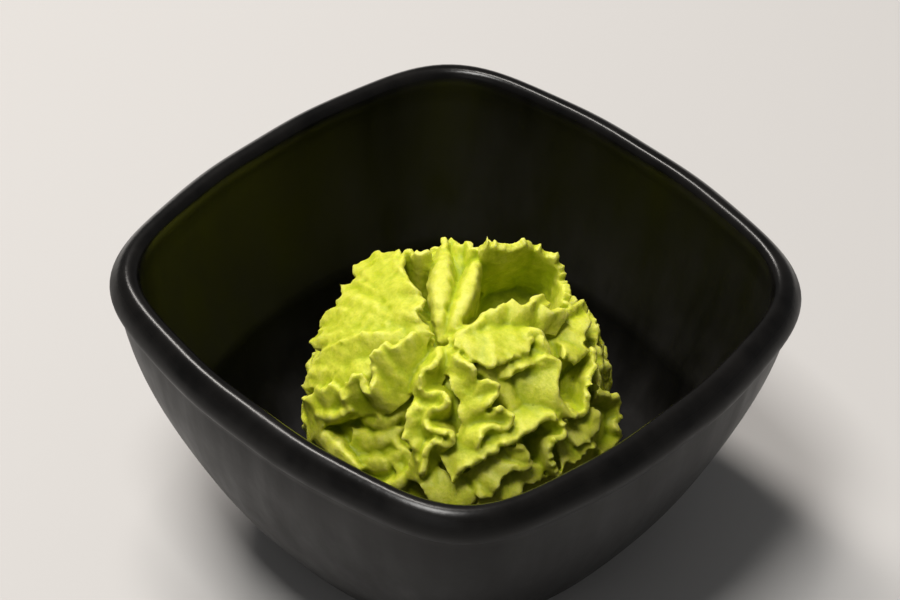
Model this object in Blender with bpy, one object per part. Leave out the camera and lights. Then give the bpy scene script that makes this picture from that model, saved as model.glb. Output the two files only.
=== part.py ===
"""A small rounded-square bowl with a ruffled mound of wasabi paste standing in it.

Metres, +Z up. The origin is the centre of the foot, on the surface that the bowl stands on. The bowl's
sides face X and Y, and its rounded corners point along the diagonals.
"""

import math

import bmesh
import bpy

MM = 0.001

# Bowl: driving dimensions
RIM_RADIUS = 40.5 * MM          # mean radius of the lip's centre line
BOWL_HEIGHT = 44.0 * MM         # foot to the top of the lip
LIP_RADIUS = 2.1 * MM           # the lip is a rolled bead, round in section
LIP_OVERHANG = 0.9 * MM         # how far the bead stands out from the wall under it
WALL = 3.1 * MM                 # thickness of the wall under the lip
FLOOR = 5.0 * MM                # thickness of the floor, foot ring included
BASE_SHARE = 0.57               # the wall's lower end as a share of its upper end
WALL_BELLY = 2.1                # above 1 the wall drops steeply first, then turns in
FOOT_RING = 3.6 * MM            # width of the flat ring that the bowl stands on
FOOT_RECESS = 0.8 * MM          # how far the underside lies above that ring
FOOT_EDGE = 1.2 * MM            # rounding between the wall and the foot
FLOOR_FILLET = 0.34             # share of the inner depth that is rounded into the floor
BOWL_SIDES = 72
SQUARENESS = (0.072, 0.014, 0.005)  # how far 4, 8 and 12 waves round the rim push its corners out

# Paste: driving dimensions
GAP = 0.3 * MM                  # clearance that touching pieces keep
PASTE_RADIUS = 22.3 * MM        # mean radius at the widest level
PASTE_TOP = 4.5 * MM            # how far the highest folds stay below the lip's top
PASTE_WAIST = 0.42              # height of the widest level as a share of the mound's height
PASTE_FOOT = 0.80               # radius on the floor as a share of the widest radius
PASTE_SHIFT = (-1.4 * MM, 2.9 * MM)  # the mound's centre, a little off the bowl's
DIMPLE_DEPTH = 4.5 * MM         # the hollow where the folds meet
FOLD_DEPTH = 1.3 * MM           # how far the coarse folds stand out and in
PASTE_SIDES = 72
PASTE_RINGS = 26


def rim_wave(angle):
    """How far the rounded-square rim stands outside its mean circle, as a share of the radius."""
    corner_angle = angle - math.pi / 4
    return sum(push * math.cos(4 * (i + 1) * corner_angle) for i, push in enumerate(SQUARENESS))


def outline_point(angle, share, offset, depth):
    """A point on the bowl's outline: share of the rim's size, pushed out by offset, at a depth."""
    roundness = 1 - 0.5 * depth / BOWL_HEIGHT
    radius = RIM_RADIUS * share * (1 + roundness * rim_wave(angle)) + offset
    return (radius * math.cos(angle), radius * math.sin(angle), BOWL_HEIGHT - depth)


def wall_share(depth):
    """The outer wall's size at a depth below the lip's top, as a share of the rim's size."""
    top = 1 + (LIP_RADIUS - LIP_OVERHANG) / RIM_RADIUS
    return BASE_SHARE + (top - BASE_SHARE) * (1 - (depth / BOWL_HEIGHT) ** WALL_BELLY)


def lip_profile():
    """The rolled bead, from the crease under its outer side over the top to the inner wall."""
    start, end, steps = math.radians(-62), math.radians(205), 10
    profile = []
    for i in range(steps + 1):
        turn = start + (end - start) * i / steps
        offset = LIP_RADIUS * math.cos(turn)
        profile.append((1.0, offset, LIP_RADIUS * (1 - math.sin(turn))))
    return profile


def outer_profile():
    """The underside, the foot ring and the outer wall, from the middle outwards and up."""
    foot = wall_share(BOWL_HEIGHT)
    profile = [
        (foot, -FOOT_RING - FOOT_EDGE - FOOT_RECESS, BOWL_HEIGHT - FOOT_RECESS),
        (foot, -FOOT_RING - FOOT_EDGE, BOWL_HEIGHT),
        (foot, -FOOT_EDGE, BOWL_HEIGHT),
        (foot, -0.3 * FOOT_EDGE, BOWL_HEIGHT - 0.3 * FOOT_EDGE),
    ]
    steps = 10
    crease = 2.0 * LIP_RADIUS
    for i in range(steps + 1):
        depth = BOWL_HEIGHT - FOOT_EDGE - (BOWL_HEIGHT - FOOT_EDGE - crease) * i / steps
        profile.append((wall_share(depth), 0.0, depth))
    return profile


def inner_profile():
    """The inner wall and its round turn into the flat floor, from the lip downwards."""
    inner_depth = BOWL_HEIGHT - FLOOR
    turn_depth = inner_depth * (1 - FLOOR_FILLET)
    profile = []
    steps = 6
    top = 2.0 * LIP_RADIUS
    for i in range(steps + 1):
        depth = top + (turn_depth - top) * i / steps
        profile.append((wall_share(depth), -WALL, depth))
    share, reach = wall_share(turn_depth), 11.0 * MM
    for i in range(1, 7):
        turn = math.radians(90) * i / 6
        offset = -WALL - reach * (1 - math.cos(turn))
        profile.append((share, offset, turn_depth + (inner_depth - turn_depth) * math.sin(turn)))
    return profile


def loft(name, rings, start_cap, end_cap):
    """One closed mesh through a list of rings, each end closed by a fan round its cap point."""
    mesh = bmesh.new()
    rows = [[mesh.verts.new(point) for point in ring] for ring in rings]
    sides = len(rows[0])
    for lower, upper in zip(rows, rows[1:]):
        for i in range(sides):
            j = (i + 1) % sides
            mesh.faces.new((lower[i], lower[j], upper[j], upper[i]))
    for row, cap in ((rows[0], start_cap), (rows[-1], end_cap)):
        tip = mesh.verts.new(cap)
        for i in range(sides):
            mesh.faces.new((row[i], row[(i + 1) % sides], tip))
    bmesh.ops.recalc_face_normals(mesh, faces=mesh.faces)
    data = bpy.data.meshes.new(name)
    mesh.to_mesh(data)
    mesh.free()
    data.shade_smooth()
    data.set_sharp_from_angle(angle=math.radians(40))
    part = bpy.data.objects.new(name, data)
    bpy.context.collection.objects.link(part)
    return part


def ring_angles(sides):
    return [2 * math.pi * i / sides for i in range(sides)]


def make_bowl():
    """The bowl's one solid: foot ring, belly wall, rolled lip and round inside."""
    profile = outer_profile() + lip_profile() + inner_profile()
    rings = [
        [outline_point(angle, share, offset, depth) for angle in ring_angles(BOWL_SIDES)]
        for share, offset, depth in profile
    ]
    return loft("bowl", rings, (0, 0, FOOT_RECESS), (0, 0, FLOOR))


def paste_lobes(angle):
    """How the mound's plan bulges into lobes, as a share of its radius."""
    broad = 0.035 * math.cos(3 * angle - 0.6) + 0.03 * math.cos(5 * angle + 1.1)
    return 1 + broad + 0.02 * math.cos(8 * angle + 0.4)


def paste_folds(angle, share):
    """Coarse folds that run out from the hollow at the top and twist a little on the way down."""
    twist = 1.8 * share + 0.5 * math.sin(2 * angle)
    fade = math.sin(math.pi * min(1.0, 1.35 * share))
    return FOLD_DEPTH * fade * (0.7 * math.cos(13 * angle + 2 * twist) + 0.3 * math.cos(21 * angle - 3 * twist))


def paste_point(angle, share, floor, height):
    """A point on the mound: share runs from 0 at the hollow to 1 at the edge of the flat foot."""
    waist = PASTE_WAIST * height
    turn = math.pi / 2 * (1 - share * 1.45)
    if turn >= 0:
        radius = PASTE_RADIUS * math.cos(turn) ** 0.85
        level = waist + (height - waist) * math.sin(turn)
    else:
        drop = turn / (math.pi / 2 * (1 - 1.45))
        radius = PASTE_RADIUS * (1 - (1 - PASTE_FOOT) * drop ** 2)
        level = waist * (1 - drop)
    level -= DIMPLE_DEPTH * math.exp(-((radius / (5 * MM)) ** 2))
    radius = radius * paste_lobes(angle) + paste_folds(angle, share)
    centre_x, centre_y = PASTE_SHIFT
    return (centre_x + radius * math.cos(angle), centre_y + radius * math.sin(angle), floor + level)


def make_paste():
    """The mound of paste: a lobed dome with a hollow top, flat where it stands on the bowl's floor."""
    floor = FLOOR + GAP
    height = BOWL_HEIGHT - PASTE_TOP - floor
    rings = []
    for i in range(1, PASTE_RINGS + 1):
        share = i / PASTE_RINGS
        rings.append([paste_point(angle, share, floor, height) for angle in ring_angles(PASTE_SIDES)])
    centre_x, centre_y = PASTE_SHIFT
    top = (centre_x, centre_y, floor + height - DIMPLE_DEPTH)
    return loft("wasabi_paste", rings, top, (centre_x, centre_y, floor))


def give_material(part, name, colour, roughness, metallic):
    material = bpy.data.materials.new(name)
    material.use_nodes = True
    shader = material.node_tree.nodes["Principled BSDF"]
    shader.inputs["Base Color"].default_value = (*colour, 1)
    shader.inputs["Roughness"].default_value = roughness
    shader.inputs["Metallic"].default_value = metallic
    part.data.materials.append(material)


def main():
    for old in list(bpy.data.objects):
        bpy.data.objects.remove(old)
    give_material(make_bowl(), "black_glaze", (0.012, 0.011, 0.011), 0.25, 0.0)
    give_material(make_paste(), "wasabi_paste", (0.48, 0.55, 0.06), 0.55, 0.0)


main()
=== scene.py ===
"""The looks of a small black bowl with a ruffled mound of wasabi paste in it.

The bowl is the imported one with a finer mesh. The mound is many folds of paste, each a closed sheet,
melted into one skin. Lengths are in millimetres until a mesh is made, unless a comment says otherwise.
"""

import math

import bmesh
import bpy
import numpy as np
from mathutils import Matrix, Vector


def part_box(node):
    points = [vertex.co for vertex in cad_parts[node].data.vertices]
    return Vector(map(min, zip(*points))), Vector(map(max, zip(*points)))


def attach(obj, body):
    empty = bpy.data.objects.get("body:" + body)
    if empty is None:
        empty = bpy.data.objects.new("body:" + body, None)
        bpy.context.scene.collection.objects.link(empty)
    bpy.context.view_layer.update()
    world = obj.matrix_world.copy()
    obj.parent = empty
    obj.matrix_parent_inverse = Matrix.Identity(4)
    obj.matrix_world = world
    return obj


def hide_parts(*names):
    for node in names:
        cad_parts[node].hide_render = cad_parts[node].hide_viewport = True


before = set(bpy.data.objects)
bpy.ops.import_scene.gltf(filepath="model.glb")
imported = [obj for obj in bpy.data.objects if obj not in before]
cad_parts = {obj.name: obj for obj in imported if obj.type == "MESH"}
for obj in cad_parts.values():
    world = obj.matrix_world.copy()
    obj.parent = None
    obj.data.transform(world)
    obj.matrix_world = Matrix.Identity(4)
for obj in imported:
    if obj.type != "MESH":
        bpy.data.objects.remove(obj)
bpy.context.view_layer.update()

MM = 0.001
RNG = np.random.default_rng(7)

# ---------------------------------------------------------------- where the viewer is
VIEW_AZIMUTH = math.radians(42)
VIEW_ELEVATION = math.radians(42.5)
VIEW_ROLL = math.radians(-3)
VIEW_DISTANCE = 429.0
VIEW_LENS = 128.0
VIEW_SENSOR = 36.0              # the width that the focal length goes with
VIEW_NEAR, VIEW_FAR = 0.01, 20  # what the camera shows, in metres from it
AIM_RIGHT = -0.81               # the point that the camera looks at, right of the middle of the bowl
AIM_BELOW_LIP = 3.24            # and below the centre line of the lip

RIGHT = np.array([math.cos(VIEW_AZIMUTH), math.sin(VIEW_AZIMUTH), 0.0])
AWAY = np.array([-math.sin(VIEW_AZIMUTH), math.cos(VIEW_AZIMUTH), 0.0])
UP = np.array([0.0, 0.0, 1.0])
TOWARD = -AWAY * math.cos(VIEW_ELEVATION) + UP * math.sin(VIEW_ELEVATION)
LEVEL_TOP = AWAY * math.sin(VIEW_ELEVATION) + UP * math.cos(VIEW_ELEVATION)
FACE_X = RIGHT * math.cos(VIEW_ROLL) - LEVEL_TOP * math.sin(VIEW_ROLL)
FACE_Y = RIGHT * math.sin(VIEW_ROLL) + LEVEL_TOP * math.cos(VIEW_ROLL)

# ---------------------------------------------------------------- the bowl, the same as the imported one
BOWL_HIGH = np.array(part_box("bowl")[1]) / MM
PASTE_LOW = np.array(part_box("wasabi_paste")[0]) / MM

GAP = 0.3                       # between the paste and the bowl
LIP_RADIUS = 2.1                # the lip is a rolled bead
LIP_OVERHANG = 0.9              # how far it stands out from the wall under it
LIP_SECTION = (                 # offset and depth, from its outer side over its top to its inner side
    (1.15, 4.75), (1.55, 4.35), (1.95, 3.8), (2.1, 3.0), (1.85, 2.1), (1.2, 1.15), (0.4, 0.4),
    (-0.4, 0.05), (-1.1, 0.08), (-1.7, 0.5), (-2.1, 1.4), (-2.1, 3.6),
)
WALL = 3.1                      # its thickness under the lip
OUTER_TOP, INNER_TOP = 5.015, 4.6  # depths at which its outer and inner sides end under the lip
FLOOR = PASTE_LOW[2] - GAP      # height of the inner floor
BASE_SHARE = 0.57               # the wall's lower end as a share of its upper end
WALL_BELLY = 2.1                # above 1 the wall drops steeply first, then turns in
FOOT_RING = 3.6                 # width of the flat ring that the bowl stands on
FOOT_RECESS = 0.8               # how far the underside lies above that ring
FOOT_EDGE = 1.2                 # rounding between the wall and the foot
FOOT_TURN = (0.3, 1.2)          # where that rounding starts and ends, in radians
FLOOR_FILLET = 0.34             # share of the inner depth that is rounded into the floor
FILLET_REACH = 11.0             # how far the rounding reaches in over the floor
TURN_END = 0.98                 # share of that reach beyond which the paste is lifted no further
SQUARENESS = (0.072, 0.014, 0.005)  # how far 4, 8 and 12 waves round the rim push its corners out
SQUARENESS_LOST = 0.5           # share of it that is lost by the foot
HEIGHT = BOWL_HIGH[2]
RIM_RADIUS = (BOWL_HIGH[0] - LIP_RADIUS) / (1 - SQUARENESS[0] + SQUARENESS[1] - SQUARENESS[2])
INNER_DEPTH = HEIGHT - FLOOR
TURN_DEPTH = INNER_DEPTH * (1 - FLOOR_FILLET)
BOWL_SIDES = 224
FOOT_STEPS, OUTER_STEPS, LIP_STEPS, INNER_STEPS, TURN_STEPS = 5, 40, 44, 24, 15
SHARP_ANGLE = math.radians(50)

# ---------------------------------------------------------------- the mound
MIDDLE = 1.8 * RIGHT + 3.0 * AWAY + 14.6 * UP  # the middle of the ball that the folds stand on
HOLLOW = np.array([-3.1, 10.5])                # where the folds meet, from the middle, on the face
HOLLOW_DEPTH, HOLLOW_WIDTH = 1.4, 2.4
STRAIGHT_FROM = 0.93                           # share of the radius beyond which the ball falls straight
CORE = 21.2                                    # radius of the solid part under the folds
CORE_TUCK = 1.8                                # how much smaller it is on the sides away from the viewer
CORE_FADE = 3                                  # how fast the dents deepen from its outline to its front
CORE_ROWS, CORE_COLUMNS = 220, 160
CORE_POLE = 0.02                               # how far its rows stop from the poles, in radians
CORE_SHELL = 0.3                               # size of its inner side as a share of its outer side
DENTS = (                                      # x, y from the hollow, depth, width
    (-3.2, 9.8, 7.0, 2.1), (-2.6, 6.8, 6.5, 1.7), (-1.8, 4.4, 4.0, 1.1),
    (2.0, 9.5, 3.0, 0.9), (1.7, 7.0, 2.5, 0.8),
    (9.8, 8.4, 15.0, 4.6), (14.0, 7.4, 12.0, 3.4),
    (18.4, -5.5, 5.0, 2.2), (12.8, -13.5, 3.0, 1.6), (21.0, -8.0, 2.0, 1.3),
    (-4.8, -6.2, 1.2, 2.2), (-8.5, -13.0, 2.4, 4.4), (-5.0, -12.6, 4.5, 1.2), (-5.2, -15.6, 4.5, 1.0),
)

# ---------------------------------------------------------------- a fold of paste
FOLD_ROWS_PER_MM, FOLD_ROWS_LEAST = 8, 60      # along its edge
FOLD_COLUMNS = 14                              # from its root to its edge
TORN_FROM = 0.6                                # how far up a fold its teeth start to pull
FRILL_POWER = 6                                # above 1 the frill stays near the edge
THIN_POWER = 1.5                               # above 1 a fold thins soon above its root
PLEAT_DRIFT = 0.5                              # how unevenly the pleats follow each other, in radians
WIDE_TEETH = 0.8                               # size of the wide teeth as a share of the small ones

# half the rows that each kind of wander is smoothed over
UNEVEN_SPAN, TOOTH_SPAN, WIDE_TOOTH_SPAN = 12, 3, 7
FRILL_SPAN, GROOVE_SPAN, PLEAT_SPAN = 5, 9, 20

# a leaf, which is a plump fold
LEAF_ROWS, LEAF_COLUMNS = 90, 25
LEAF_SECTION = 3.2                             # above 2 its section is flat on top and steep at the sides
LEAF_SHELL = 0.2                               # its thickness as a share of the way to the mound's middle
LEAF_SIDE_WANDER, LEAF_SIDE_SPAN = 0.07, 5
LEAF_TOP_WANDER, LEAF_TOP_SPAN = 0.05, 6
LEAF_NARROWEST = 0.05                          # share of its greatest width below which it gets no lower

# ---------------------------------------------------------------- the skin over the folds
VOXEL = 0.22                                   # the finest detail that melting keeps
LUMP_WAVES, LUMP_LENGTHS, LUMP_HEIGHT = 48, (1.1, 3.8), 0.055
SOFTEN_SHARE, SOFTEN_ROUNDS = 0.5, 6
MOST_TRIANGLES = 196000
EDGE_STEPS, CREASE_STEPS = 16, 80              # rounds of smoothing that show edges, and wide creases

# ---------------------------------------------------------------- the studio
GLOSSY_BELOW, GLOSSY_ABOVE = 2.0, 0.8          # depths between which satin glaze turns glossy on the lip
STAGE_REACH, STAGE_DROP = 4000, 0.02           # half the floor's width, and its depth below the foot
WORLD_LIGHT = 0.13
LIGHT_TARGET = (0, 0, 0.02)                    # in metres
LIGHTS = (
    # name, metres right of, beyond and above the bowl for the viewer, size in metres, watts, colour,
    # and the direction of the long side where it matters: that light faces the middle of the foot
    ("key", (-0.16, -0.13, 0.77), (0.22, 0.22), 4.3, (1, 0.98, 0.95), None),
    ("strip", (-0.24, 0.32, 0.69), (0.5, 0.11), 5.4, (1, 0.95, 0.90), (1, 0, 0)),
    ("fill", (-0.30, -0.65, 0.50), (0.5, 0.4), 0.25, (1, 1, 1), None),
)


# ---------------------------------------------------------------- curves and meshes

def unit(vectors):
    """The vectors at length 1."""
    return vectors / (np.linalg.norm(vectors, axis=-1, keepdims=True) + 1e-9)


def smooth_path(points, count):
    """A smooth curve through the points, read at evenly spaced places along it."""
    points = np.array(points, float)
    gaps = np.linalg.norm(np.diff(points, axis=0), axis=1)
    marks = np.concatenate([[0], np.cumsum(gaps)])
    slopes = np.gradient(points, marks, axis=0)
    places = np.linspace(0, marks[-1], count)
    i = np.clip(np.searchsorted(marks, places, side="right") - 1, 0, len(gaps) - 1)
    gap = gaps[i][:, None]
    t = ((places - marks[i]) / gaps[i])[:, None]
    return (
        (2 * t**3 - 3 * t**2 + 1) * points[i] + (t**3 - 2 * t**2 + t) * gap * slopes[i]
        + (3 * t**2 - 2 * t**3) * points[i + 1] + (t**3 - t**2) * gap * slopes[i + 1]
    )


def mesh_object(name, points, faces):
    """A new object in the scene, from points in millimetres."""
    data = bpy.data.meshes.new(name)
    data.from_pydata((np.asarray(points) * MM).tolist(), [], faces)
    piece = bpy.data.objects.new(name, data)
    bpy.context.scene.collection.objects.link(piece)
    return piece


def vertex_rows(data, name):
    """A mesh's points ("co", in metres) or normals ("normal"), one row of three numbers a vertex."""
    values = np.empty(len(data.vertices) * 3, np.float32)
    data.vertices.foreach_get(name, values)
    return values.reshape(-1, 3).astype(float)


# ---------------------------------------------------------------- the bowl

def rim_wave(angle):
    """How far the rounded-square rim stands outside its mean circle, as a share of the radius."""
    corner_angle = angle - math.pi / 4
    return sum(push * np.cos(4 * (i + 1) * corner_angle) for i, push in enumerate(SQUARENESS))


def ring_radius(angles, share, depth):
    """The outline's radius at these angles, for a share of the rim's size and a depth below the lip."""
    squareness = 1 - SQUARENESS_LOST * depth / HEIGHT
    return RIM_RADIUS * share * (1 + squareness * rim_wave(angles))


def outline(angles, share, offset, depth):
    """A ring of points round the bowl, pushed out by the offset."""
    radius = ring_radius(angles, share, depth) + offset
    height = np.full_like(angles, HEIGHT - depth)
    return np.stack([radius * np.cos(angles), radius * np.sin(angles), height], 1)


def wall_share(depth):
    """The outer wall's size at a depth, as a share of the rim's size."""
    top = 1 + (LIP_RADIUS - LIP_OVERHANG) / RIM_RADIUS
    return BASE_SHARE + (top - BASE_SHARE) * (1 - (depth / HEIGHT) ** WALL_BELLY)


def foot_and_outer_wall():
    """The section from under the foot up to the lip."""
    foot = wall_share(HEIGHT)
    profile = [
        (foot, -FOOT_RING - FOOT_EDGE - FOOT_RECESS, HEIGHT - FOOT_RECESS),
        (foot, -FOOT_RING - FOOT_EDGE, HEIGHT),
        (foot, -FOOT_EDGE, HEIGHT),
    ]
    for turn in np.linspace(*FOOT_TURN, FOOT_STEPS):
        offset = FOOT_EDGE * (math.sin(turn) - 1)
        profile.append((foot, offset, HEIGHT - FOOT_EDGE * (1 - math.cos(turn))))
    for depth in np.linspace(HEIGHT - FOOT_EDGE, OUTER_TOP, OUTER_STEPS):
        profile.append((wall_share(depth), 0.0, depth))
    return profile


def inner_wall_and_turn():
    """The section from the lip down to the flat floor."""
    depths = np.linspace(INNER_TOP, TURN_DEPTH, INNER_STEPS)
    profile = [(wall_share(depth), -WALL, depth) for depth in depths]
    for turn in np.linspace(0, math.pi / 2, TURN_STEPS)[1:]:
        offset = -WALL - FILLET_REACH * (1 - math.cos(turn))
        depth = TURN_DEPTH + (INNER_DEPTH - TURN_DEPTH) * math.sin(turn)
        profile.append((wall_share(TURN_DEPTH), offset, depth))
    return profile


def bowl_profile():
    """(share, offset, depth) along half the section, from under the foot over the lip to the floor."""
    lip = [(1.0, offset, depth) for offset, depth in smooth_path(LIP_SECTION, LIP_STEPS)]
    return foot_and_outer_wall() + lip + inner_wall_and_turn()


def make_bowl():
    """The bowl as one smooth loft, closed under the foot and on the floor."""
    angles = np.linspace(0, 2 * math.pi, BOWL_SIDES, endpoint=False)
    profile = bowl_profile()
    rings = np.array([outline(angles, *step) for step in profile])
    points = np.concatenate([rings.reshape(-1, 3), [[0, 0, FOOT_RECESS], [0, 0, FLOOR]]])
    under, inside = len(points) - 2, len(points) - 1
    last = (len(profile) - 1) * BOWL_SIDES
    sides = [(i, (i + 1) % BOWL_SIDES) for i in range(BOWL_SIDES)]
    faces = []
    for row in range(0, last, BOWL_SIDES):
        above = row + BOWL_SIDES
        faces += [(row + i, row + j, above + j, above + i) for i, j in sides]
    for i, j in sides:
        faces.append((j, i, under))
        faces.append((last + i, last + j, inside))
    bowl = mesh_object("glazed_bowl", points, faces)
    bowl.data.shade_smooth()
    bowl.data.set_sharp_from_angle(angle=SHARP_ANGLE)
    return bowl


def inner_floor(points):
    """Height of the bowl's inside under each point."""
    angle = np.arctan2(points[:, 1], points[:, 0])
    reach = np.hypot(points[:, 0], points[:, 1])
    outer = ring_radius(angle, wall_share(TURN_DEPTH), TURN_DEPTH) - WALL
    into = np.clip((reach - (outer - FILLET_REACH)) / FILLET_REACH, 0, TURN_END)
    return FLOOR + (INNER_DEPTH - TURN_DEPTH) * (1 - np.sqrt(1 - into**2))


# ---------------------------------------------------------------- one fold of paste

def turned(axis, turn):
    """The axis turned round the upright through the mound's middle."""
    x, y, z = axis
    return np.array([x * math.cos(turn) - y * math.sin(turn), x * math.sin(turn) + y * math.cos(turn), z])


def wander(count, size, span):
    """Smooth random values along a line, for teeth and uneven edges."""
    spare = 4 * span  # at each end, to be cut off
    values = RNG.normal(size=count + 2 * spare)
    window = np.hanning(2 * span + 1)
    values = np.convolve(values, window / np.sqrt((window**2).sum()), "same")
    return size * values[spare:spare + count]


def with_radius(line, radius):
    """The line's points as x, y and radius. Those that state no radius get this one."""
    return [(*point, radius) if len(point) == 2 else point for point in line]


def rows_up(rows, teeth, length):
    """How far up a fold each of its points lies: 0 at the root, and about 1 at the toothed edge."""
    up = np.linspace(0, 1, FOLD_COLUMNS)[None, :, None]
    small = wander(rows, teeth, TOOTH_SPAN)
    torn = (small + wander(rows, WIDE_TEETH * teeth, WIDE_TOOTH_SPAN)) / length
    return up + torn[:, None, None] * np.clip((up - TORN_FROM) / (1 - TORN_FROM), 0, 1) ** 2


def arcs(base, crest, bulge, t):
    """Arcs from the root line to the edge, with their middles pushed out of the mound by the bulge."""
    halfway = (crest + base) / 2
    middle = halfway + 2 * bulge * unit(halfway - MIDDLE)
    return (1 - t) ** 2 * base[:, None] + 2 * t * (1 - t) * middle[:, None] + t**2 * crest[:, None]


def sheet_waves(rows, up, frill, grooves, pleats, pleat_depth):
    """How far each point moves along its normal: a frill at the edge, grooves up the fold, and pleats."""
    frills = wander(rows, frill, FRILL_SPAN)[:, None] * up**FRILL_POWER
    lines = wander(rows, grooves, GROOVE_SPAN)[:, None]
    place = np.linspace(0, 1, rows)
    phase = 2 * math.pi * pleats * place + wander(rows, PLEAT_DRIFT, PLEAT_SPAN)
    return frills + lines + pleat_depth * np.sin(phase)[:, None] * up


class Paste:
    """Gathers the folds that make up the mound. A fold's places are given on one face of the mound, in mm
    right of and above the point where that face's folds meet."""

    def __init__(self):
        self.points, self.faces = [], []
        self.count = 0
        self.look_at(0, *HOLLOW)

    def look_at(self, turn, x, y, size=1.0):
        """Turns to another face of the mound. Its folds meet at x, y from the middle of that face."""
        self.right, self.top, self.out = (turned(axis, turn) for axis in (FACE_X, FACE_Y, TOWARD))
        self.meet = np.array([x, y])
        self.size = size

    def on_shell(self, x, y, radius):
        """Points in space for places on this face, on a ball of this radius round the mound's middle."""
        x, y, radius = np.broadcast_arrays(x + self.meet[0], y + self.meet[1], radius * self.size)
        from_meet = (x - self.meet[0]) ** 2 + (y - self.meet[1]) ** 2
        radius = radius - HOLLOW_DEPTH * np.exp(-from_meet / HOLLOW_WIDTH**2)
        reach = np.hypot(x, y)
        rim = STRAIGHT_FROM * radius
        inner = np.sqrt(np.maximum(radius**2 - np.minimum(reach, rim) ** 2, 0))
        slope = rim / np.sqrt(radius**2 - rim**2)
        lift = inner - slope * np.maximum(reach - rim, 0)
        return MIDDLE + x[..., None] * self.right + y[..., None] * self.top + lift[..., None] * self.out

    def add(self, front, back):
        """A closed sheet from its two sides, given as grids of points."""
        rows, columns = front.shape[:2]
        size = rows * columns
        at = self.count + np.arange(size).reshape(rows, columns)
        quads = np.stack([at[:-1, :-1], at[:-1, 1:], at[1:, 1:], at[1:, :-1]], -1).reshape(-1, 4)
        self.faces += quads.tolist() + (quads[:, ::-1] + size).tolist()
        border = np.concatenate([at[0, :], at[1:, -1], at[-1, -2::-1], at[-2:0:-1, 0]])
        after = np.roll(border, -1)
        self.faces += np.stack([after, border, border + size, after + size], -1).tolist()
        self.points.append(np.concatenate([front.reshape(-1, 3), back.reshape(-1, 3)]))
        self.count += 2 * size

    def fold(self, edge, root, high=24.4, low=21.0, bulge=0.4, edge_thick=0.9, root_thick=3.2,
             teeth=0.22, frill=0.14, pleats=0, pleat_depth=0.4, grooves=0.05, uneven=0.2):
        """A wedge of paste from its root line up to its thin free edge. A point of a line is x, y and,
        where it differs from high at the edge or low at the root, its radius."""
        length = sum(math.dist(a[:2], b[:2]) for a, b in zip(edge, edge[1:]))
        rows = int(max(FOLD_ROWS_LEAST, FOLD_ROWS_PER_MM * length))
        rim = smooth_path(with_radius(edge, high), rows)
        foot = smooth_path(with_radius(root, low), rows)
        crest = self.on_shell(rim[:, 0], rim[:, 1], rim[:, 2] + wander(rows, uneven, UNEVEN_SPAN))
        base = self.on_shell(foot[:, 0], foot[:, 1], foot[:, 2])
        t = rows_up(rows, teeth, np.linalg.norm(crest - base, axis=1) + 1)
        surface = arcs(base, crest, bulge, t)
        normal = unit(np.cross(np.gradient(surface, axis=0), np.gradient(surface, axis=1)))
        moved = sheet_waves(rows, t[0, :, 0], frill, grooves, pleats, pleat_depth)
        surface = surface + normal * moved[..., None]
        thick = edge_thick + (root_thick - edge_thick) * (1 - np.clip(t, 0, 1)) ** THIN_POWER
        self.add(surface + normal * (thick / 2), surface - normal * (thick / 2))

    def leaf(self, middle, widths, low=21.5, lift=2.6):
        """A plump petal along a line, widest where its half-widths say."""
        line = smooth_path([(*point, width) for point, width in zip(middle, widths)], LEAF_ROWS)
        along = unit(np.gradient(line[:, :2], axis=0))
        across = np.linspace(-1, 1, LEAF_COLUMNS)[None, :]
        wide = line[:, 2] + wander(LEAF_ROWS, LEAF_SIDE_WANDER, LEAF_SIDE_SPAN)
        x = line[:, :1] + along[:, 1:] * wide[:, None] * across
        y = line[:, 1:2] - along[:, :1] * wide[:, None] * across
        plump = np.sqrt(np.clip(wide / max(widths), LEAF_NARROWEST, 1))[:, None]
        section = 1 - np.abs(across) ** LEAF_SECTION
        radius = low + lift * plump * section + wander(LEAF_ROWS, LEAF_TOP_WANDER, LEAF_TOP_SPAN)[:, None]
        front = self.on_shell(x, y, radius)
        self.add(front, front + LEAF_SHELL * (MIDDLE - front))


# ---------------------------------------------------------------- the folds of the mound

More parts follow.
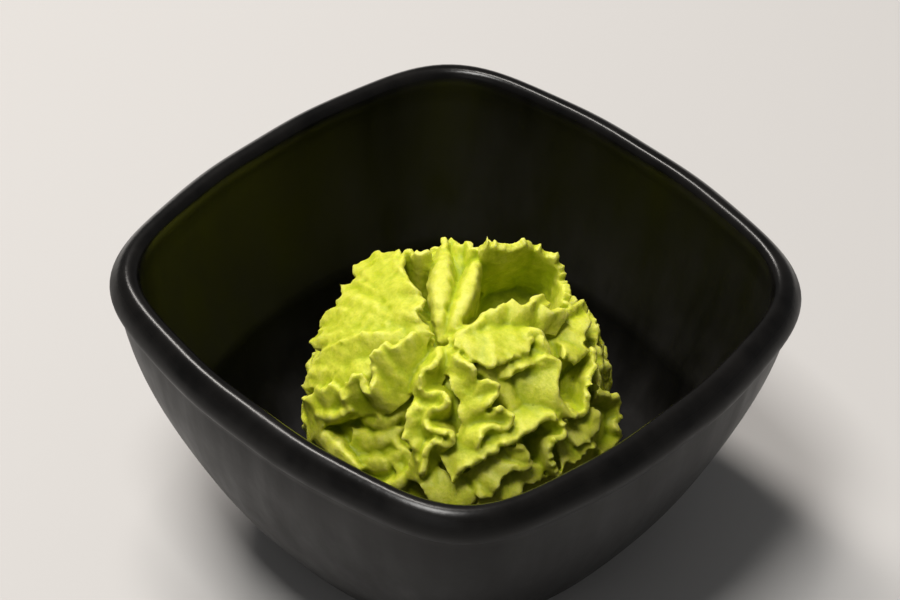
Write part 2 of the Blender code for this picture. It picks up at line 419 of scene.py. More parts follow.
def back_left_fan(paste):
    """Broad smooth petals that lie back like an open fan, over a shaded groove on their right."""
    # the fan's upper petal
    paste.fold(
        edge=[(-6.4, 11.8), (-7.6, 11.4), (-8.5, 11.7), (-10.0, 10.8), (-11.9, 9.5), (-11.8, 7.8)],
        root=[(-3.2, 2.8), (-3.4, 2.2), (-3.6, 1.2)],
        low=22.5, bulge=1.5, pleats=2.5, pleat_depth=0.22, teeth=0.32, uneven=0.06, root_thick=4,
    )
    # its lower petal
    paste.fold(
        edge=[(-11.6, 7.8), (-13.2, 7.2), (-13.9, 5.0), (-15.8, 3.0), (-16.6, 1.0), (-17.5, -0.7),
              (-15.8, -1.9)],
        root=[(-2.0, 1.0), (-3.0, 0.6), (-4.0, -0.4)],
        high=24.2, low=22.5, bulge=1.7, pleats=3.5, pleat_depth=0.22, teeth=0.35, uneven=0.06,
        root_thick=4,
    )
    # its right border, which overhangs the groove
    paste.fold(
        edge=[(-5.4, 12.0), (-4.9, 9.2), (-3.8, 7.5), (-1.8, 4.9), (-3.0, 3.1), (-2.1, 2.0),
              (-0.7, 0.6)],
        root=[(-8.5, 10.5), (-8.0, 7.5), (-6.8, 5.0), (-5.6, 3.0), (-4.6, 1.2)],
        high=24.9, low=23.2, bulge=0.3, frill=0.2, root_thick=2.4,
    )
    # the wall at the back of the groove
    paste.fold(
        edge=[(-7.0, 10.6, 23.8), (-5.8, 11.4, 24.8), (-4.4, 11.9, 25.2), (-2.8, 11.9, 25.4),
              (-1.2, 12.1, 25.0)],
        root=[(-4.2, 5.2, 17.5), (-3.2, 4.2, 16.2), (-2.4, 3.6, 15.2), (-1.4, 3.6, 15.2)],
        bulge=-0.4, root_thick=1.2, grooves=0.0, uneven=0.04,
    )


def back_petals(paste):
    """Two plump petals that open in a V, with a frilled edge behind them."""
    # the left petal
    paste.leaf(
        middle=[(0.1, -0.4), (0.0, 2.6), (0.0, 4.6), (0.1, 6.4), (0.2, 8.2), (0.3, 10.0),
                (0.6, 12.0), (1.0, 13.2)],
        widths=[0.7, 1.2, 1.6, 1.9, 1.9, 1.6, 1.2, 0.7],
    )
    # the right petal
    paste.leaf(
        middle=[(0.9, -0.2), (2.0, 2.4), (2.9, 4.6), (3.8, 6.8), (4.4, 8.8), (5.2, 11.2)],
        widths=[0.7, 1.3, 1.6, 1.6, 1.4, 0.7],
    )
    # the frilled edge behind them
    paste.fold(
        edge=[(0.4, 12.9), (1.2, 13.6), (2.3, 13.6), (2.8, 12.9), (4.0, 13.2), (4.9, 12.3),
              (5.8, 12.4)],
        root=[(1.2, 8.0), (2.4, 7.0), (3.6, 8.5)],
        high=24.2, low=19.5, bulge=-0.6, teeth=0.25,
    )


def back_right_hollow(paste):
    """A sheet upright behind a deep hollow, with a knobbly edge that comes forward on the right."""
    paste.fold(
        edge=[(5.2, 12.3, 25.6), (7.6, 12.9, 26.6), (10.0, 12.9, 27.0), (12.4, 12.9, 27.0),
              (14.4, 12.0, 26.6), (16.0, 10.6, 25.8), (17.0, 8.6, 24.8), (17.2, 6.8, 24.0),
              (16.8, 4.6, 23.2)],
        root=[(5.6, 6.4, 16.5), (6.8, 5.4, 12.4), (8.6, 4.8, 11.2), (10.6, 4.4, 11.4),
              (13.0, 4.2, 13.4), (15.2, 2.6, 17.0)],
        bulge=-1.6, teeth=0.34, root_thick=2.4, edge_thick=1.2, frill=0.05, grooves=0, uneven=0.03,
    )


def right_terraces(paste):
    """Sheets that lie over each other like steps, and flare open at their outer ends."""
    # the top step
    paste.fold(
        edge=[(0.8, -0.2), (2.2, 0.9), (3.7, 1.9), (5.0, 2.5), (6.3, 4.3), (7.1, 4.1), (8.5, 4.8),
              (9.8, 5.5), (10.6, 4.8), (11.8, 5.0), (12.9, 6.0), (13.8, 6.2), (14.4, 5.5),
              (13.9, 4.7), (14.9, 4.0), (15.8, 4.2), (17.6, 3.5)],
        root=[(2.0, -0.6), (4.5, -0.2), (8.0, 0.9), (11.0, 1.1), (13.0, 1.6), (15.0, 1.4)],
        high=24.5, low=21.6, bulge=0.5, pleats=3.5, pleat_depth=0.3,
    )
    # its flared right end
    paste.fold(
        edge=[(16.3, 4.1), (17.6, 3.6), (18.8, 3.9), (19.8, 5.0), (20.2, 3.2), (19.9, 1.2),
              (19.6, -0.6), (20.1, -1.5), (19.4, -2.5), (18.1, -2.8), (16.5, -2.3)],
        root=[(14.4, 1.8), (14.8, 0.5), (15.2, -0.8), (15.4, -1.4)],
        high=23.8, low=20.0, bulge=0.7, teeth=0.3, grooves=0.02,
    )
    # the middle step
    paste.fold(
        edge=[(1.8, -1.0), (3.4, -1.8), (4.3, -2.4), (5.8, -3.2), (7.4, -3.4), (8.6, -3.1),
              (10.6, -2.1), (11.9, -1.6), (12.2, -0.6), (11.7, 0.4), (12.7, 0.9), (13.8, 0.5),
              (14.1, -0.7), (14.2, -2.0)],
        root=[(2.4, 0.2), (4.6, 0.9), (7.4, 1.0), (10.0, 0.6), (12.0, -0.4), (12.8, -1.6)],
        high=24.9, low=22.0, bulge=0.6, pleats=2, pleat_depth=0.12,
    )
    # a ledge under it
    paste.fold(
        edge=[(7.4, -5.6, 22.4), (9.0, -5.0, 23.6), (11.0, -4.2, 24.2), (12.5, -3.7, 24.4),
              (14.0, -3.4, 24.4)],
        root=[(7.8, -3.8), (10.6, -2.6), (12.8, -2.2)],
        low=22.0, root_thick=3.6,
    )
    # the fill between the steps and the curls
    paste.leaf(
        middle=[(4.8, -3.4), (6.8, -4.4), (8.4, -6.2), (9.4, -8.0), (10.6, -9.6)],
        widths=[0.8, 1.5, 1.7, 1.5, 0.7],
        low=21.8, lift=1.5,
    )
    # the lowest step, folded over at its end
    paste.fold(
        edge=[(13.9, -1.9), (15.2, -2.4), (16.2, -2.9), (16.0, -4.5), (15.7, -6.5), (16.2, -8.1),
              (17.2, -9.4), (18.8, -10.1)],
        root=[(9.6, -3.8), (9.8, -5.0), (10.2, -6.6), (11.6, -8.6), (14.4, -9.6)],
        high=25.3, low=21.5, frill=0.05, root_thick=2.4, grooves=0.0, teeth=0.1, uneven=0.08,
    )
    # the cup to its right
    paste.fold(
        edge=[(17.0, -9.6), (18.2, -10.1), (19.3, -9.7), (20.0, -8.2), (20.2, -6.3), (20.0, -5.0),
              (20.6, -3.8), (21.0, -2.7), (21.4, -1.2)],
        root=[(17.0, -8.4), (17.2, -6.0), (17.4, -4.4), (17.6, -2.8)],
        high=23.9, low=17.5, bulge=-0.4, teeth=0.26,
    )


def far_right(paste):
    """Dim sheets behind the terraces, and lobes low on the right."""
    # two dim sheets behind the terraces
    paste.fold(
        edge=[(20.3, 3.6), (21.3, 2.9), (22.0, 1.2), (21.6, -0.4)],
        root=[(18.0, 2.0), (18.4, 0.4), (18.6, -0.8)],
        high=22.3, low=19,
    )
    paste.fold(
        edge=[(21.3, -1.0), (22.5, -2.1), (22.7, -3.4), (21.9, -4.8), (21.5, -6.4)],
        root=[(18.8, -1.6), (19.2, -3.6), (19.2, -5.6)],
        high=22.3, low=19,
    )
    # the inner lobe
    paste.fold(
        edge=[(20.4, -9.0), (21.6, -10.6), (21.3, -12.3), (20.0, -13.4), (18.0, -14.6)],
        root=[(17.8, -9.8), (16.6, -11.0), (15.6, -12.4)],
        high=23.2, low=20.5, bulge=0.8,
    )
    # the outer lobe
    paste.fold(
        edge=[(21.3, -7.3), (22.9, -7.5), (24.6, -8.6), (24.6, -10.0), (25.2, -10.8), (24.3, -11.5),
              (25.0, -13.0), (24.0, -14.8), (22.0, -16.2)],
        root=[(19.6, -8.4), (20.2, -10.6), (20.4, -12.6), (19.4, -14.4)],
        high=22.9, low=18.5, teeth=0.25,
    )


def front_curls(paste):
    """Two soft ribbons that run down from the hollow in tight bends, edges towards the viewer."""
    # the left ribbon
    paste.fold(
        edge=[(0.0, -0.8, 24.2), (-0.3, -2.6, 25.2), (-0.8, -3.6, 25.4), (-2.0, -4.3, 25.4),
              (-2.9, -5.4, 25.2), (-3.0, -6.6, 24.8), (-2.3, -7.5, 24.0), (-0.8, -7.2, 24.8),
              (0.8, -7.1, 25.6), (1.4, -8.0, 25.8), (0.6, -9.0, 25.4), (-0.8, -9.6, 25.0),
              (-1.6, -10.6, 24.5), (-1.0, -11.5, 25.0), (0.3, -11.9, 25.6), (1.6, -12.3, 25.8),
              (1.8, -13.3, 25.8), (0.8, -13.9, 25.6), (-0.4, -13.4, 25.2), (-1.6, -14.2, 25.2),
              (-2.3, -16.4, 25.0), (-2.6, -19.2, 24.6)],
        root=[(0.1, -1.4), (-0.8, -4.2), (-2.0, -5.4), (-2.2, -6.8), (-1.8, -7.9), (-0.4, -8.0),
              (-0.2, -8.8), (-1.6, -9.8), (-1.8, -11.0), (-0.7, -12.2), (0.2, -12.8), (-0.6, -13.8),
              (-1.8, -15.2), (-2.2, -17.0), (-2.4, -19.0)],
        low=22.0, bulge=0, root_thick=4.4, edge_thick=0.75, frill=0.08,
    )
    # the right ribbon
    paste.fold(
        edge=[(0.6, -0.8, 24.2), (2.6, -2.0, 25.2), (4.0, -3.2, 25.8), (4.8, -4.5, 25.4),
              (4.6, -5.6, 24.0), (5.8, -5.6, 24.8), (6.6, -5.1, 25.7), (7.5, -5.8, 26.1),
              (7.6, -6.8, 26.0), (7.0, -8.3, 25.5), (6.1, -9.5, 24.2), (7.3, -9.7, 25.2),
              (8.3, -9.3, 25.6), (9.2, -9.9, 25.8), (9.4, -10.9, 25.8), (8.6, -11.6, 25.6),
              (7.5, -11.3, 25.4), (6.2, -12.0, 25.7), (5.7, -13.0, 25.5), (5.0, -14.8, 24.8)],
        root=[(0.9, -1.6), (2.2, -3.4), (3.0, -4.8), (2.6, -6.3), (4.0, -7.0), (4.8, -8.2),
              (3.8, -10.0), (5.6, -10.5), (6.8, -11.1), (5.2, -11.8), (4.2, -12.8), (4.0, -14.6)],
        low=22.0, bulge=0.1, root_thick=4.2, edge_thick=0.75, frill=0.08,
    )
    # a sheet along the left ribbon's outer side
    paste.fold(
        edge=[(-3.2, -8.4), (-4.4, -9.4), (-4.4, -11.4), (-5.1, -13.1), (-3.9, -14.0),
              (-3.2, -16.4), (-2.9, -19.0)],
        root=[(-2.0, -8.5), (-2.2, -12.0), (-1.8, -16.5)],
        high=24.0, low=21.5, root_thick=4,
    )


def lower_front(paste):
    """Larger torn sheets under the curls, down to where the bowl's wall hides them."""
    # the widest sheet, just under the curls
    paste.fold(
        edge=[(1.8, -19.2), (2.8, -17.6), (4.0, -16.9), (5.7, -15.7), (7.3, -15.1), (8.0, -14.3),
              (10.1, -13.1), (11.8, -11.9), (13.3, -10.9), (14.6, -10.4), (15.6, -10.5)],
        root=[(0.4, -15.4), (3.0, -14.4), (6.4, -12.9), (9.2, -11.0), (11.4, -9.9), (13.2, -9.5)],
        high=25.4, low=22.0, bulge=0.3,
    )
    # its right end, turned inwards
    paste.fold(
        edge=[(14.6, -10.3), (15.6, -10.4), (16.4, -11.2), (16.4, -12.4), (15.3, -13.3),
              (14.9, -14.5), (15.0, -15.5), (15.4, -16.8), (16.2, -18.2)],
        root=[(13.0, -11.4), (12.6, -12.6), (12.4, -14.0), (12.6, -15.6), (13.4, -17.6)],
        high=25.0, low=19.0, bulge=-0.2,
    )
    # a torn sheet below it
    paste.fold(
        edge=[(10.4, -13.6), (11.4, -14.7), (11.9, -15.8), (12.4, -16.9), (11.1, -17.2),
              (10.1, -16.8), (9.2, -17.5), (8.2, -18.6), (7.8, -19.8), (6.3, -21.0), (5.2, -20.2)],
        root=[(9.3, -14.2), (8.2, -15.2), (6.6, -16.2), (5.0, -17.4), (3.8, -18.6)],
        high=24.8, low=21.8,
    )
    # the smooth lip under the left ribbon
    paste.fold(
        edge=[(-2.8, -19.4), (-1.5, -21.2), (0.5, -22.3), (2.5, -22.7), (4.4, -22.0), (5.0, -20.6)],
        root=[(-1.2, -17.6), (0.6, -18.2), (2.4, -18.6), (3.6, -18.8)],
        low=21.5, bulge=0.8,
    )
    # three smaller pieces at the bottom right
    paste.leaf(
        middle=[(6.4, -19.0), (8.6, -18.4), (11.0, -17.9), (13.6, -17.0)],
        widths=[0.8, 1.4, 1.4, 0.7],
        low=21.6, lift=1.7,
    )
    paste.fold(
        edge=[(4.6, -22.6), (7.2, -21.8), (9.6, -21.0), (11.6, -19.4), (14.4, -18.6, 22.4)],
        root=[(5.4, -19.8), (8.6, -18.4), (12.6, -17.2)],
        high=23.6, low=21.6, teeth=0.3,
    )
    paste.fold(
        edge=[(16.2, -18.0), (17.2, -16.6), (18.8, -16.2), (19.8, -14.8), (21.0, -14.6)],
        root=[(15.4, -14.6), (17.0, -13.6), (18.6, -12.6)],
        high=23.2, low=20.8, teeth=0.3,
    )


def left_front(paste):
    """Frilled sheets on the left, with stacked folds in the shade under them."""
    # the sheet along the top
    paste.fold(
        edge=[(-1.0, 0.6), (-2.8, 1.7), (-4.8, 1.4), (-7.8, 1.1), (-10.5, 0.8), (-13.2, -0.2),
              (-15.4, -1.6), (-16.9, -2.9), (-17.9, -4.4), (-18.4, -5.6), (-18.3, -7.3)],
        root=[(-2.0, -0.6), (-6.0, -0.7), (-9.5, -1.3), (-12.5, -3.2), (-15.0, -6.4)],
        high=24.3, low=22.4, pleats=1.5, pleat_depth=0.15, teeth=0.25, root_thick=4.6,
    )
    # a long frilled sheet that swings round two pockets
    paste.fold(
        edge=[(-0.8, -0.2, 24.0), (-2.2, 0.9, 24.6), (-3.5, 0.7, 25.0), (-4.8, -0.2, 25.3),
              (-5.9, -0.7, 25.4), (-8.2, -1.1, 25.4), (-9.3, -2.1, 25.2), (-9.0, -4.4, 24.9),
              (-9.2, -5.9, 24.7), (-9.8, -6.4, 24.7), (-10.6, -5.8, 24.9), (-10.9, -4.8, 25.1),
              (-11.7, -4.3, 25.2), (-12.4, -5.2, 25.1), (-12.5, -6.8, 24.7), (-12.9, -7.7, 24.5),
              (-13.6, -6.4, 24.8), (-14.7, -5.9, 24.9), (-16.1, -6.3, 24.6), (-17.4, -7.3, 24.2),
              (-18.8, -8.6, 23.8), (-19.0, -9.8, 23.6), (-18.6, -11.4, 23.4)],
        root=[(-1.0, -1.4), (-2.6, -4.8), (-4.6, -8.2), (-7.4, -9.2), (-10.4, -9.6),
              (-12.6, -10.2, 21.8), (-14.4, -11.0, 22.4), (-16.0, -12.6, 22.4), (-17.2, -14.2, 22.2)],
        low=20.8, bulge=0.1, root_thick=2.4, edge_thick=1.0, frill=0.1,
    )
    # a small frill on its left
    paste.fold(
        edge=[(-14.4, -3.4), (-15.6, -4.4), (-15.2, -5.6), (-16.6, -5.4), (-17.4, -6.6)],
        root=[(-13.8, -4.6), (-14.6, -6.0), (-16.0, -7.2)],
        high=24.0, low=21.5,
    )
    # a plump fill in its upper pocket
    paste.leaf(
        middle=[(-8.6, -2.6), (-10.4, -3.9), (-12.6, -5.0), (-15.0, -5.8), (-17.2, -7.2)],
        widths=[1.0, 2.0, 2.0, 1.5, 0.7],
        low=22.9, lift=1.3,
    )
    # two plump shelves along the left side
    paste.leaf(
        middle=[(-18.8, -9.4), (-16.6, -10.2), (-14.2, -10.3), (-12.2, -9.2)],
        widths=[0.8, 1.3, 1.3, 0.8],
        low=22.0, lift=2.2,
    )
    paste.leaf(
        middle=[(-18.8, -11.4), (-16.6, -13.0), (-14.0, -15.2), (-11.0, -17.8)],
        widths=[1.0, 1.8, 1.7, 0.9],
        low=21.6, lift=2.0,
    )
    # four plump shelves in the shade below
    paste.leaf(
        middle=[(-13.2, -8.9), (-10.6, -10.0), (-8.0, -10.8), (-4.8, -9.6)],
        widths=[0.5, 1.2, 1.7, 0.6],
        low=19.5, lift=1.7,
    )
    paste.leaf(
        middle=[(-15.0, -11.2), (-12.4, -12.8), (-9.2, -13.9), (-5.2, -12.0)],
        widths=[0.8, 1.6, 1.8, 0.5],
        low=19.2, lift=1.9,
    )
    paste.leaf(
        middle=[(-13.6, -14.4), (-11.0, -16.4), (-7.6, -16.9), (-4.8, -14.6)],
        widths=[0.8, 1.4, 1.7, 0.6],
        low=19.7, lift=1.9,
    )
    paste.leaf(
        middle=[(-9.6, -20.2), (-7.4, -20.2), (-5.4, -19.2), (-3.4, -16.8)],
        widths=[0.9, 1.4, 1.5, 0.6],
        low=20.6, lift=2.0,
    )


def around_the_back(paste):
    """The same kinds of folds on the sides away from the viewer, each lobe met by its neighbours."""
    # turn in degrees, where the folds of that face meet, their size, and the lobes
    for turn, x, y, size, lobes in (
        (180, 1.0, 2.0, 0.92, (front_curls, right_terraces, left_front, lower_front)),
        (112, 0.0, 1.0, 0.87, (front_curls, lower_front)),
        (-112, 0.0, 1.0, 0.87, (front_curls, right_terraces)),
        (155, -1.0, 3.0, 0.95, (front_curls,)),
    ):
        paste.look_at(math.radians(turn), x, y, size)
        for lobe in lobes:
            lobe(paste)
    paste.look_at(0, *HOLLOW)


def behind_the_hollow(paste):
    """Three rows of ruffles across the back of the upright sheet, from its top down."""
    for edge, root in (
        ([(4.6, 11.2, 22.6), (6.6, 11.9, 23.0), (9.0, 12.0, 23.2), (11.6, 12.0, 23.2), (14.0, 11.0, 22.6),
          (15.6, 9.6, 22.0)],
         [(6.0, 9.6, 18.8), (8.6, 9.6, 18.8), (11.2, 9.4, 18.8), (13.6, 8.2, 18.4)]),
        ([(4.2, 9.6, 19.2), (6.6, 10.4, 19.6), (9.4, 10.6, 19.8), (12.4, 10.2, 19.6), (15.0, 8.8, 19.2)],
         [(6.0, 8.0, 16.4), (8.6, 8.0, 16.4), (11.2, 7.8, 16.4), (13.6, 7.0, 16.0)]),
        ([(4.4, 8.0, 16.6), (7.0, 8.8, 17.0), (9.8, 8.8, 17.2), (12.6, 8.4, 17.0), (15.0, 7.0, 16.6)],
         [(6.0, 6.2, 14.0), (8.6, 6.2, 14.0), (11.2, 6.0, 14.0), (13.6, 5.4, 13.6)]),
    ):
        paste.fold(edge, root, bulge=0, pleats=3.5, pleat_depth=0.5, root_thick=2.2)


def core_ball(paste):
    """The solid middle of the mound, dented under the deepest hollows between the folds."""
    turn = np.linspace(0, 2 * math.pi, CORE_ROWS)[:, None]
    fall = np.linspace(CORE_POLE, math.pi - CORE_POLE, CORE_COLUMNS)[None, :]
    across = np.sin(fall)
    out = np.stack([np.cos(turn) * across, np.sin(turn) * across, np.cos(fall) + 0 * turn], -1)
    x, y = CORE * (out @ FACE_X) - HOLLOW[0], CORE * (out @ FACE_Y) - HOLLOW[1]
    near = np.clip(CORE_FADE * (out @ TOWARD), 0, 1)
    depth = HOLLOW_DEPTH * np.exp(-(x**2 + y**2) / HOLLOW_WIDTH**2)
    for dent_x, dent_y, dent_depth, width in DENTS:
        depth = depth + dent_depth * np.exp(-((x - dent_x) ** 2 + (y - dent_y) ** 2) / width**2)
    ball = MIDDLE + (CORE - near * depth - CORE_TUCK * (1 - near))[..., None] * out
    paste.add(ball, MIDDLE + (ball - MIDDLE) * CORE_SHELL)


# ---------------------------------------------------------------- the skin over the folds

def apply_modifiers(piece):
    """Turns the piece's modifiers into its mesh."""
    graph = bpy.context.evaluated_depsgraph_get()
    data = bpy.data.meshes.new_from_object(piece.evaluated_get(graph))
    piece.modifiers.clear()
    piece.data = data


def melt_together(piece):
    """Joins all the folds into one skin."""
    melt = piece.modifiers.new("melt", "REMESH")
    melt.mode = "VOXEL"
    melt.voxel_size = VOXEL * MM
    apply_modifiers(piece)


def lumps(points):
    """Soft random lumps: a height in mm at each point."""
    directions = unit(RNG.normal(size=(LUMP_WAVES, 3)))
    steps = 2 * math.pi / RNG.uniform(*LUMP_LENGTHS, LUMP_WAVES)
    phases = RNG.uniform(0, 2 * math.pi, LUMP_WAVES)
    waves = np.cos(points @ (directions * steps[:, None]).T + phases)
    return LUMP_HEIGHT * waves.sum(1) / math.sqrt(LUMP_WAVES / 2)


def press_into_bowl(data):
    """Makes the skin lumpy, and keeps it above the inside of the bowl."""
    points = vertex_rows(data, "co") / MM
    points += lumps(points)[:, None] * vertex_rows(data, "normal")
    points[:, 2] = np.maximum(points[:, 2], inner_floor(points) + GAP)
    data.vertices.foreach_set("co", (points * MM).astype(np.float32).ravel())
    data.update()


def soften_and_thin(piece):
    """Takes the steps out of the skin, and brings it down to a fair number of faces."""
    soften = piece.modifiers.new("soften", "SMOOTH")
    soften.factor = SOFTEN_SHARE
    soften.iterations = SOFTEN_ROUNDS
    thin = piece.modifiers.new("thin", "DECIMATE")
    thin.ratio = min(1.0, MOST_TRIANGLES / (2 * len(piece.data.polygons)))
    apply_modifiers(piece)
    piece.data.validate()


def connected(start):
    """Every vertex that edges join to this one."""
    found, waiting = {start}, [start]
    while waiting:
        vertex = waiting.pop()
        for edge in vertex.link_edges:
            other = edge.other_vert(vertex)
            if other not in found:
                found.add(other)
                waiting.append(other)
    return found


def drop_crumbs(data):
    """Keeps the skin itself, and drops the loose crumbs that melting and thinning leave."""
    mesh = bmesh.new()
    mesh.from_mesh(data)
    skin = connected(max(mesh.verts, key=lambda vertex: vertex.co.z))
    crumbs = [vertex for vertex in mesh.verts if vertex not in skin]
    bmesh.ops.delete(mesh, geom=crumbs, context="VERTS")
    mesh.to_mesh(data)
    mesh.free()


def add_relief(data):
    """Stores how far each point stands out from the smoothed mound, in mm: above 0 on edges, and below 0
    in creases. The paste's colour uses it for a painted highlight on edges and painted shade in creases."""
    points = vertex_rows(data, "co") / MM
    normals = vertex_rows(data, "normal")
    ends = np.empty(len(data.edges) * 2, np.int32)
    data.edges.foreach_get("vertices", ends)
    a, b = ends.reshape(-1, 2).T

    def sum_of_neighbours(values):
        return np.bincount(a, values[b], len(points)) + np.bincount(b, values[a], len(points))

    neighbours = sum_of_neighbours(np.ones(len(points)))[:, None]
    smooth = points
    for step in range(1, CREASE_STEPS + 1):
        total = np.stack([sum_of_neighbours(column) for column in smooth.T], 1)
        smooth = 0.5 * smooth + 0.5 * total / neighbours
        name = {EDGE_STEPS: "edges", CREASE_STEPS: "creases"}.get(step)
        if name:
            height = ((points - smooth) * normals).sum(1).astype(np.float32)
            data.attributes.new(name, "FLOAT", "POINT").data.foreach_set("value", height)


def make_paste():
    """All the folds as one piece that lies in the bowl."""
    paste = Paste()
    for part in (
        core_ball, back_left_fan, back_petals, back_right_hollow, right_terraces, far_right, front_curls,
        lower_front, left_front, around_the_back, behind_the_hollow,
    ):
        part(paste)
    piece = mesh_object("ruffled_paste", np.concatenate(paste.points), paste.faces)
    melt_together(piece)
    press_into_bowl(piece.data)
    soften_and_thin(piece)
    drop_crumbs(piece.data)
    add_relief(piece.data)
    piece.data.shade_smooth()
    return piece


# ---------------------------------------------------------------- materials

class Look:
    """A material in the making. shader holds the inputs of its main shader. The methods add nodes, and
    what goes into a node is a socket, a number or a colour."""

    def __init__(self, name):
        self.material = bpy.data.materials.new(name)
        self.material.use_nodes = True
        self.nodes = self.material.node_tree.nodes
        self.shader = self.nodes["Principled BSDF"].inputs

    def feed(self, socket, value):
        """Joins a socket to another one, or sets it."""
        if isinstance(value, bpy.types.NodeSocket):
            self.material.node_tree.links.new(value, socket)
        else:
            socket.default_value = (*value, 1) if isinstance(value, tuple) else value

    def add(self, kind, inputs, **settings):
        """Adds a node, with its inputs by name or number."""
        made = self.nodes.new("ShaderNode" + kind)
        for name, value in settings.items():
            setattr(made, name, value)
        for name, value in inputs.items():
            self.feed(made.inputs[name], value)
        return made

    def place(self):
        """Where each point lies, in metres."""
        return self.add("TexCoord", {}).outputs["Object"]

    def stored(self, name):
        """What the mesh stores under this name."""
        return self.add("Attribute", {}, attribute_name=name).outputs["Fac"]

    def noise(self, place, scale, detail, roughness):
        """Soft noise of about this many waves a metre."""
        inputs = {"Vector": place, "Scale": scale, "Detail": detail, "Roughness": roughness}
        return self.add("TexNoise", inputs).outputs["Fac"]

    def math(self, operation, *values):
        """The result of a sum on sockets and numbers."""
        return self.add("Math", dict(enumerate(values)), operation=operation).outputs[0]

    def ramp(self, value, *stops):
        """A colour ramp from (place, colour) stops. A plain number stands for a grey."""
        made = self.add("ValToRGB", {"Fac": value})
        elements = made.color_ramp.elements
        while len(elements) < len(stops):
            elements.new(0.5)
        for element, (place, colour) in zip(elements, stops):
            element.position = place
            element.color = (*colour, 1) if isinstance(colour, tuple) else (colour, colour, colour, 1)
        return made.outputs["Color"]

    def mix(self, share, a, b, blend="MIX"):
        """One colour over another."""
        return self.add("Mix", {0: share, 6: a, 7: b}, data_type="RGBA", blend_type=blend).outputs[2]

    def bump(self, height, strength, distance, under=None):
        """Relief of this depth in metres, on top of the relief under it."""
        inputs = {"Strength": strength, "Distance": distance, "Height": height}
        if under is not None:
            inputs["Normal"] = under
        return self.add("Bump", inputs).outputs["Normal"]


def paste_material():
    """Moist grated paste with a fine grain. Its colour has painted light in it: paler on thin edges as a
    painted highlight, and a deeper green in the creases as painted shade.
    """
    look = Look("wasabi_paste")
    place = look.place()
    # painted light and shade: the stored relief makes the colour paler on edges (painted highlight) and
    # darker, greener in creases (painted shade); the dapple only shifts it at random
    height = look.math("MULTIPLY_ADD", look.stored("edges"), 0.7, 0.5)
    height = look.math("ADD", height, look.math("MULTIPLY", look.stored("creases"), 0.25))
    dapple = look.noise(place, 700.0, 4.0, 0.65)
    height = look.math("ADD", height, look.math("MULTIPLY", dapple, 0.5))
    tone_with_painted_light = look.ramp(
        look.math("SUBTRACT", height, 0.25), (0.0, (0.16, 0.25, 0.002)), (0.38, (0.38, 0.46, 0.008)),
        (0.62, (0.57, 0.60, 0.055)), (1.0, (0.70, 0.69, 0.17)),
    )
    clouds = look.noise(place, 260.0, 4.0, 0.6)
    colour = look.mix(0.28, tone_with_painted_light, look.mix(clouds, tone_with_painted_light, (0.72, 0.66, 0.05)))
    flecks = look.ramp(
        look.noise(place, 2200.0, 3.0, 0.7), (0.30, (0.80, 0.86, 0.55)), (0.55, (1.0, 1.0, 1.0)),
        (0.8, (1.06, 1.04, 1.25)),
    )
    look.feed(look.shader["Base Color"], look.mix(0.8, colour, flecks, "MULTIPLY"))
    wet = look.ramp(look.noise(place, 900.0, 3.0, 0.6), (0.35, 0.42), (0.7, 0.62))
    look.feed(look.shader["Roughness"], wet)
    look.shader["Specular IOR Level"].default_value = 0.28
    look.shader["Subsurface Weight"].default_value = 0.6
    look.shader["Subsurface Radius"].default_value = (0.9, 1.0, 0.10)
    look.shader["Subsurface Scale"].default_value = 0.0012
    grain = look.noise(place, 1500.0, 5.0, 0.65)
    soft = look.bump(look.noise(place, 420.0, 3.0, 0.55), 0.35, 0.0006)
    look.feed(look.shader["Normal"], look.bump(grain, 0.5, 0.00022, soft))
    return look.material


def glaze_material():
    """Black glaze, satin on the walls and glossy on the lip, with faint runs and a fine orange peel. Its
    black base colour is lighter along the runs and patches: a painted sheen.
    """
    look = Look("black_glaze")
    place = look.place()
    stretched = look.add("Mapping", {"Vector": place})
    stretched.inputs["Scale"].default_value = (1.0, 1.0, 0.12)
    runs = look.noise(stretched.outputs["Vector"], 190.0, 3.0, 0.55)
    patches = look.noise(place, 70.0, 4.0, 0.6)
    sheen = look.mix(0.45, runs, patches)
    satin = look.ramp(sheen, (0.34, 0.36), (0.66, 0.58))
    glossy = look.ramp(patches, (0.35, 0.22), (0.70, 0.28))
    height = look.add("SeparateXYZ", {"Vector": place}).outputs["Z"]
    lowest, highest = (HEIGHT - GLOSSY_BELOW) * MM, (HEIGHT - GLOSSY_ABOVE) * MM
    lip = look.add("MapRange", {"Value": height, "From Min": lowest, "From Max": highest})
    look.feed(look.shader["Roughness"], look.mix(lip.outputs["Result"], satin, glossy))
    # painted sheen: the black base colour gets lighter where the runs and patches are, standing in for
    # streaks of reflected light on the walls
    painted_sheen_tint = look.ramp(sheen, (0.34, (0.0010, 0.0009, 0.0008)), (0.66, (0.0070, 0.0063, 0.0057)))
    look.feed(look.shader["Base Color"], painted_sheen_tint)
    look.shader["Specular IOR Level"].default_value = 0.28
    peel = look.noise(place, 620.0, 2.0, 0.5)
    look.feed(look.shader["Normal"], look.bump(peel, 0.15, 0.00012, look.bump(runs, 0.2, 0.0004)))
    return look.material


def floor_material():
    """Plain pale matt floor."""
    look = Look("floor")
    look.shader["Base Color"].default_value = (0.50, 0.49, 0.48, 1)
    look.shader["Roughness"].default_value = 0.85
    return look.material


# ---------------------------------------------------------------- the studio

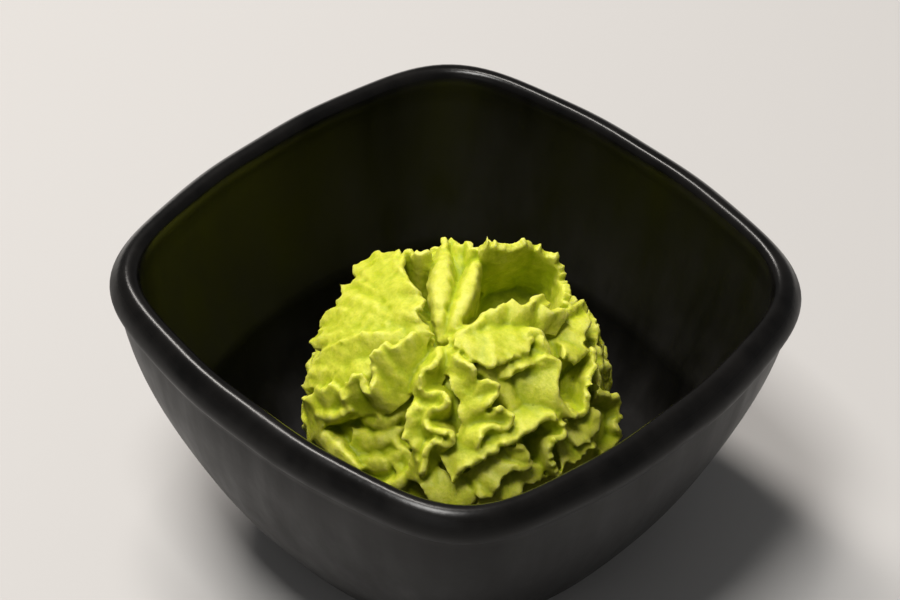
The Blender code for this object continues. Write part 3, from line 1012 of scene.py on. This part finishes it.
def make_floor():
    """A plain floor just under the foot."""
    corners = np.array([(-1, -1, 0), (1, -1, 0), (1, 1, 0), (-1, 1, 0)]) * STAGE_REACH
    floor = mesh_object("floor", corners - [0, 0, STAGE_DROP], [(0, 1, 2, 3)])
    floor.data.materials.append(floor_material())


def make_light(name, place, size, power, colour, long_side):
    """One row of LIGHTS."""
    data = bpy.data.lights.new(name, "AREA")
    data.shape = "RECTANGLE"
    data.size, data.size_y = size
    data.energy = power
    data.color = colour
    light = bpy.data.objects.new(name, data)
    bpy.context.scene.collection.objects.link(light)
    right, away, up = place
    spot = Vector(RIGHT * right + AWAY * away + UP * up)
    light.location = spot
    if long_side is None:
        light.rotation_euler = (Vector(LIGHT_TARGET) - spot).to_track_quat("-Z", "Y").to_euler()
    else:
        back = spot.normalized()
        across = back.cross(Vector(long_side)).normalized()
        light.rotation_euler = Matrix((across.cross(back), across, back)).transposed().to_euler()


def make_studio():
    """A pale plain floor, an even white surrounding and soft lights."""
    make_floor()
    world = bpy.data.worlds.new("studio")
    world.use_nodes = True
    background = world.node_tree.nodes["Background"].inputs
    background["Color"].default_value = (1, 1, 1, 1)
    background["Strength"].default_value = WORLD_LIGHT
    bpy.context.scene.world = world
    bpy.context.scene.view_settings.view_transform = "Standard"
    for light in LIGHTS:
        make_light(*light)


def make_camera():
    """The camera at the viewer's place."""
    data = bpy.data.cameras.new("camera")
    data.lens = VIEW_LENS
    data.sensor_width = VIEW_SENSOR
    data.clip_start, data.clip_end = VIEW_NEAR, VIEW_FAR
    camera = bpy.data.objects.new("camera", data)
    target = (AIM_RIGHT * RIGHT + (HEIGHT - LIP_RADIUS - AIM_BELOW_LIP) * UP) * MM
    axes = Matrix((FACE_X, FACE_Y, TOWARD)).transposed()
    camera.matrix_world = Matrix.Translation(target + TOWARD * VIEW_DISTANCE * MM) @ axes.to_4x4()
    bpy.context.scene.collection.objects.link(camera)
    bpy.context.scene.camera = camera


def dress(piece, cad_node, material):
    """Gives a piece its material, and puts it in the place of its CAD node."""
    piece.data.materials.clear()
    piece.data.materials.append(material)
    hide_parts(cad_node)
    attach(piece, "root")


make_camera()
make_studio()
dress(make_bowl(), "bowl", glaze_material())
dress(make_paste(), "wasabi_paste", paste_material())
